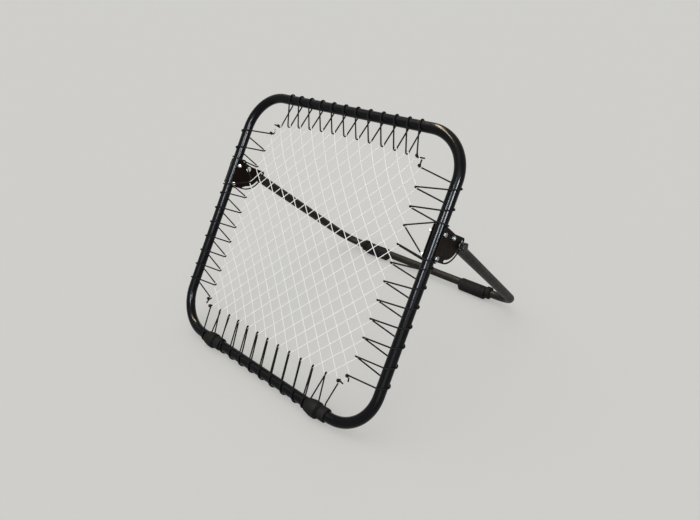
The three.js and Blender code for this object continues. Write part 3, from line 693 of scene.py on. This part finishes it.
def cord_route(side):
    """The points of one cord, and the middles of its two end knots."""
    place = sides[side]
    holds = hooks[side]
    way = 1 if holds[1][0] > holds[0][0] else -1
    hook_n = NET_HALF + CORD_R + FIT
    knot_n = NET_HALF + KNOT_R + FIT
    route = []
    ends = []
    for k, (s0, r) in enumerate(holds):
        last = k == len(holds) - 1
        if k == 0:
            route.append(place(s0 - way * CORD_TAIL, r - 4 * MM, -knot_n))
        if k == 0 or last:
            ends.append(place(s0, r - 3 * MM, -knot_n))
        for t in (-1, -0.6, 0, 0.6, 1):
            route.append(place(s0 + way * HOOK_LEAN * t, r - 2 * MM * t * t, hook_n * t))
        if last:
            route.append(place(s0 + way * CORD_TAIL, r - 4 * MM, knot_n))
            break
        s, climb, radius, leads = turn_at(side, k)
        turn_r = radius + CORD_R + FIT
        leave_at = math.acos(turn_r / math.hypot(r, hook_n)) + math.atan2(hook_n, r)
        touch_r = turn_r * math.cos(leave_at)
        touch_n = turn_r * math.sin(leave_at)
        lead_n = touch_n + (hook_n - touch_n) * (LEAD - touch_r) / (r - touch_r)
        if leads:
            route.append(place(s, LEAD, lead_n))
        for i in range(ARC_STEPS + 1):
            t = i / ARC_STEPS
            a = leave_at + (2 * math.pi - 2 * leave_at) * t
            along = way * climb * (2 * t - 1)
            route.append(place(s + along, turn_r * math.cos(a), turn_r * math.sin(a)))
        if leads == "both":
            route.append(place(s, LEAD, -lead_n))
    return route, ends


KNOT_TURN = (0.5, 0.9, 0.3)
for side in ("top", "bottom", "right", "left"):
    route, ends = cord_route(side)
    store = ([], [], [])
    sweep_into(store, route, CORD_R, 8)
    cord = object_from(store, "cord")
    length = sum((b - a).length for a, b in zip(route, route[1:]))
    for middle in ends:
        bpy.ops.mesh.primitive_torus_add(location=middle, rotation=KNOT_TURN,
                                         major_radius=KNOT_R * 0.5, minor_radius=KNOT_R * 0.48,
                                         major_segments=16, minor_segments=10)
        knot = bpy.context.object
        bake(knot)
        nothing()
        knot.select_set(True)
        cord.select_set(True)
        bpy.context.view_layer.objects.active = cord
        bpy.ops.object.join()
    finish(cord, "elastic_cord_" + side, stand, "frame", black_cord, "elastic_cord",
           "lacing_" + side, smooth=60)
    print(side, "cord is", round(length, 2), "m long")

# %% [markdown]
# ## Finishes for the pieces that keep their CAD shape
# The bracket plates and the fasteners are already the right shape. They get their finish and
# a slight rounding of their edges. The cap nuts and pivot bolts face the player and get plain
# zinc. The hexagons outside, the pivot nuts and the lock washers get a darker copy of it as
# painted shade, and the bolt under each knob is blackened.

# %% Plates, bolts and nuts
kept_finish = {"bracket": bracket_coat, "cap_nut": bright_zinc, "pivot_bolt": bright_zinc,
               "frame_bolt": zinc_painted_shade, "pivot_nut": zinc_painted_shade, "lock_washer": zinc_painted_shade,
               "lock_bolt": black_bolt, "lock_knob": knob_plastic}
for name, obj in nodes.items():
    for start, material in kept_finish.items():
        if not name.startswith(start):
            continue
        obj.material_slots[0].material = material
        weld = obj.modifiers.new("weld", "WELD")
        weld.merge_threshold = 0.01 * MM
        round_off = obj.modifiers.new("round", "BEVEL")
        round_off.width = 0.5 * MM
        round_off.segments = 2
        round_off.limit_method = "ANGLE"
        round_off.angle_limit = math.radians(40)

# %% [markdown]
# ## Floor and light
# The object stands on a plain pale floor. An even pale room and two wide soft suns give the
# light. Two upright soft boxes draw the streaks down the side tubes, and a long warm lamp
# above them draws the one at the top corner. Their places were found from where the streaks
# begin and end in the photograph: one is close in front of the right side tube, left of the
# camera, and the other stands further off to the right. They are seen only in what shines,
# so they add no light to the floor.

# %% What the camera and shiny things see
BACKDROP = (0.64, 0.635, 0.610, 1)
ROOM_SEEN = (0.623, 0.619, 0.594, 1)   # the tone of the far floor, so that no line parts them
ROOM_LIGHT = 0.64


def seen(tree):
    """One for a ray from the camera, off something shiny or through glass, and else nothing."""
    path = tree.nodes.new("ShaderNodeLightPath")
    total = path.outputs["Is Camera Ray"]
    for kind in ("Is Glossy Ray", "Is Transmission Ray"):
        either = tree.nodes.new("ShaderNodeMath")
        either.operation = "MAXIMUM"
        tree.links.new(total, either.inputs[0])
        tree.links.new(path.outputs[kind], either.inputs[1])
        total = either.outputs["Value"]
    return total


# %% Floor
FLOOR_SIZE = 400
bpy.ops.mesh.primitive_plane_add(size=FLOOR_SIZE, location=(0, 0, 0))
floor = bpy.context.object
floor.name = "floor"
floor_paint, floor_shader = new_finish("floor paint", BACKDROP[:3], 1.0, Specular_IOR_Level=0.0)
plain = add(floor_paint, "ShaderNodeEmission")
plain.inputs["Color"].default_value = BACKDROP
half = maths(floor_paint, "MULTIPLY", seen(floor_paint.node_tree), 0.5)
blend = add(floor_paint, "ShaderNodeMixShader")
link(floor_paint, half, blend.inputs["Fac"])
link(floor_paint, floor_shader.outputs["BSDF"], blend.inputs[1])
link(floor_paint, plain.outputs["Emission"], blend.inputs[2])
link(floor_paint, blend.outputs["Shader"], floor_paint.node_tree.nodes["Material Output"].inputs["Surface"])
floor.data.materials.append(floor_paint)

# %% Lamps
FRAME_FRONT = (0.2, -0.20, 0.55)
FRAME_UPPER = (0.2, -0.20, 0.70)
TOP_CORNER = (0.3, -0.10, 0.86)


def soft_box(name, place, aim, width, height, power, colour, shape="ELLIPSE"):
    bpy.ops.object.light_add(type="AREA", location=place)
    light = bpy.context.object
    light.name = name
    light.rotation_euler = (Vector(aim) - Vector(place)).to_track_quat("-Z", "Y").to_euler()
    light.data.shape = shape
    light.data.size = width
    light.data.size_y = height
    light.data.energy = power
    light.data.color = colour
    light.visible_diffuse = False      # it shows only in what shines
    light.visible_camera = False


soft_box("soft box left of the camera", (0.47, -1.42, 1.26), FRAME_FRONT,
         width=0.36, height=0.70, power=38, colour=(0.80, 0.90, 1.0))
soft_box("soft box at the right", (2.50, -1.28, 1.63), FRAME_UPPER,
         width=0.60, height=0.75, power=100, colour=(0.88, 0.94, 1.0))
soft_box("warm lamp above", (-0.90, -0.30, 4.2), TOP_CORNER,
         width=3.2, height=0.5, power=290, colour=(1.0, 0.84, 0.62), shape="RECTANGLE")


def soft_sun(name, towards, energy, angle):
    bpy.ops.object.light_add(type="SUN", rotation=Vector(towards).to_track_quat("Z", "Y").to_euler())
    light = bpy.context.object
    light.name = name
    light.data.energy = energy
    light.data.angle = math.radians(angle)


soft_sun("soft light above", (-0.25, -0.30, 1.0), 0.60, 60)
soft_sun("soft light in front", (0.45, -0.80, 0.45), 0.95, 50)

# %% The room
world = bpy.data.worlds.new("room")
scene.world = world
world.use_nodes = True
tree = world.node_tree
around = tree.nodes["Background"]
around.inputs["Color"].default_value = (1.0, 1.0, 1.0, 1)
around.inputs["Strength"].default_value = ROOM_LIGHT
backdrop = tree.nodes.new("ShaderNodeBackground")
backdrop.inputs["Color"].default_value = ROOM_SEEN
backdrop.inputs["Strength"].default_value = 1
mix = tree.nodes.new("ShaderNodeMixShader")
tree.links.new(seen(tree), mix.inputs["Fac"])
tree.links.new(around.outputs["Background"], mix.inputs[1])
tree.links.new(backdrop.outputs["Background"], mix.inputs[2])
tree.links.new(mix.outputs["Shader"], tree.nodes["World Output"].inputs["Surface"])
scene.view_settings.view_transform = "Standard"
